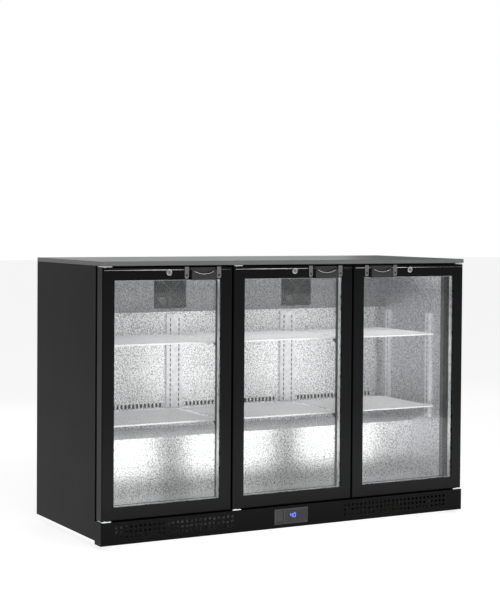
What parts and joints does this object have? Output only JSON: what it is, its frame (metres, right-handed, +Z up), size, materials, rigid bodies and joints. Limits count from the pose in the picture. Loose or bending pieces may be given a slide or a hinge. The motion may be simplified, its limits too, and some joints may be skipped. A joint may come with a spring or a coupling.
{
  "type": "under counter fridge",
  "caption": "Low back bar bottle cooler with hinged glass doors, wire shelves, fan cooled cabinet and a rear compressor step.",
  "frame": {"origin": "on the floor under the middle of the bounding box", "axes": "+X to the user's right along the front, +Y to the back, +Z up"},
  "size_m": [1.35, 0.542, 0.875],
  "materials": {
    "case_paint": "satin powder coat",
    "worktop_paint": "satin powder coat",
    "door_paint": "satin anodised black",
    "pane_glass": "clear toughened glass",
    "spacer_bar": "mill finish",
    "seal_rubber": "soft matt",
    "grip_plastic": "moulded satin",
    "bright_fittings": "satin chrome",
    "lock_chrome": "polished",
    "liner_aluminium": "stucco embossed",
    "foam": "rigid foam",
    "fin_aluminium": "bare fins",
    "trim_plastic": "moulded black",
    "rail_steel": "galvanised",
    "pan_steel": "galvanised sheet",
    "shelf_coating": "white plastic coating",
    "clip_plastic": "moulded",
    "fan_plastic": "moulded glass filled",
    "guard_wire": "coated wire",
    "lamp_cover": "diffusing strip",
    "pot_paint": "gloss black",
    "mount_rubber": "soft",
    "pipe_copper": "drawn copper",
    "tray_plastic": "moulded",
    "display_plastic": "dark window",
    "switch_plastic": "moulded"
  },
  "bodies": {
    "root": {"side_panel_left": "case_paint", "side_panel_right": "case_paint", "back_panel": "case_paint", "service_grille": "case_paint", "kickplate": "case_paint", "worktop": "worktop_paint", "inner_liner": "liner_aluminium", "duct_panel": "liner_aluminium", "evaporator_cover": "liner_aluminium", "foam_insulation": "foam", "evaporator_coil": "fin_aluminium", "condenser_coil": "fin_aluminium", "breaker_frame": "trim_plastic", "mullions": "trim_plastic", "control_panel": "trim_plastic", "shelf_rails": "rail_steel", "hinge_brackets": "rail_steel", "screws": "rail_steel", "base_pan": "pan_steel", "shelves_lower": "shelf_coating", "shelves_upper": "shelf_coating", "shelf_clips": "clip_plastic", "cable_entry": "clip_plastic", "fan_frames": "fan_plastic", "fan_guards": "guard_wire", "lamp": "lamp_cover", "compressor": "pot_paint", "compressor_grommets": "mount_rubber", "refrigerant_pipes": "pipe_copper", "drip_tray": "tray_plastic", "controller": "display_plastic"},
    "door1": {"door1_frame": "door_paint", "door1_glass": "pane_glass", "door1_spacer": "spacer_bar", "door1_gasket": "seal_rubber", "door1_grip": "grip_plastic", "door1_fittings": "bright_fittings"},
    "door1_lock": {"door1_lock_plug": "lock_chrome"},
    "door2": {"door2_frame": "door_paint", "door2_glass": "pane_glass", "door2_spacer": "spacer_bar", "door2_gasket": "seal_rubber", "door2_grip": "grip_plastic", "door2_fittings": "bright_fittings"},
    "door2_lock": {"door2_lock_plug": "lock_chrome"},
    "door3": {"door3_frame": "door_paint", "door3_glass": "pane_glass", "door3_spacer": "spacer_bar", "door3_gasket": "seal_rubber", "door3_grip": "grip_plastic", "door3_fittings": "bright_fittings"},
    "door3_lock": {"door3_lock_plug": "lock_chrome"},
    "evaporator_rotor_left": {"evaporator_rotor_left": "fan_plastic"},
    "evaporator_rotor_right": {"evaporator_rotor_right": "fan_plastic"},
    "condenser_rotor": {"condenser_rotor": "fan_plastic"},
    "lamp_switch": {"lamp_switch": "switch_plastic"},
    "foot_front_left": {"foot_front_left": "mount_rubber"},
    "foot_front_right": {"foot_front_right": "mount_rubber"},
    "foot_back_left": {"foot_back_left": "mount_rubber"},
    "foot_back_right": {"foot_back_right": "mount_rubber"}
  },
  "joints": [
    {"name": "door1_hinge", "type": "hinge", "parent": "root", "child": "door1", "pos_m": [-0.6605, -0.253, 0.472], "axis": [0, 0, -1], "range_deg": [0, 100]},
    {"name": "door1_lock_turn", "type": "hinge", "parent": "door1", "child": "door1_lock", "pos_m": [-0.45, -0.259, 0.841], "axis": [0, 1, 0], "range_deg": [0, 90]},
    {"name": "door2_hinge", "type": "hinge", "parent": "root", "child": "door2", "pos_m": [-0.2105, -0.253, 0.472], "axis": [0, 0, -1], "range_deg": [0, 100]},
    {"name": "door2_lock_turn", "type": "hinge", "parent": "door2", "child": "door2_lock", "pos_m": [0, -0.259, 0.841], "axis": [0, 1, 0], "range_deg": [0, 90]},
    {"name": "door3_hinge", "type": "hinge", "parent": "root", "child": "door3", "pos_m": [0.6605, -0.253, 0.472], "axis": [0, 0, 1], "range_deg": [0, 100]},
    {"name": "door3_lock_turn", "type": "hinge", "parent": "door3", "child": "door3_lock", "pos_m": [0.45, -0.259, 0.841], "axis": [0, -1, 0], "range_deg": [0, 90]},
    {"name": "evaporator_rotor_left_spin", "type": "hinge", "parent": "root", "child": "evaporator_rotor_left", "pos_m": [-0.2475, 0.144, 0.763], "axis": [0, 1, 0], "continuous": true},
    {"name": "evaporator_rotor_right_spin", "type": "hinge", "parent": "root", "child": "evaporator_rotor_right", "pos_m": [0.2475, 0.144, 0.763], "axis": [0, 1, 0], "continuous": true},
    {"name": "condenser_rotor_spin", "type": "hinge", "parent": "root", "child": "condenser_rotor", "pos_m": [0.375, 0.176, 0.124], "axis": [0, 1, 0], "continuous": true},
    {"name": "lamp_switch_tip", "type": "hinge", "parent": "root", "child": "lamp_switch", "pos_m": [-0.048, -0.256, 0.04875], "axis": [1, 0, 0], "range_deg": [-7, 7]},
    {"name": "foot_front_left_screw", "type": "slide", "parent": "root", "child": "foot_front_left", "axis": [0, 0, -1], "range_m": [0, 0.015]},
    {"name": "foot_front_right_screw", "type": "slide", "parent": "root", "child": "foot_front_right", "axis": [0, 0, -1], "range_m": [0, 0.015]},
    {"name": "foot_back_left_screw", "type": "slide", "parent": "root", "child": "foot_back_left", "axis": [0, 0, -1], "range_m": [0, 0.015]},
    {"name": "foot_back_right_screw", "type": "slide", "parent": "root", "child": "foot_back_right", "axis": [0, 0, -1], "range_m": [0, 0.015]}
  ]
}
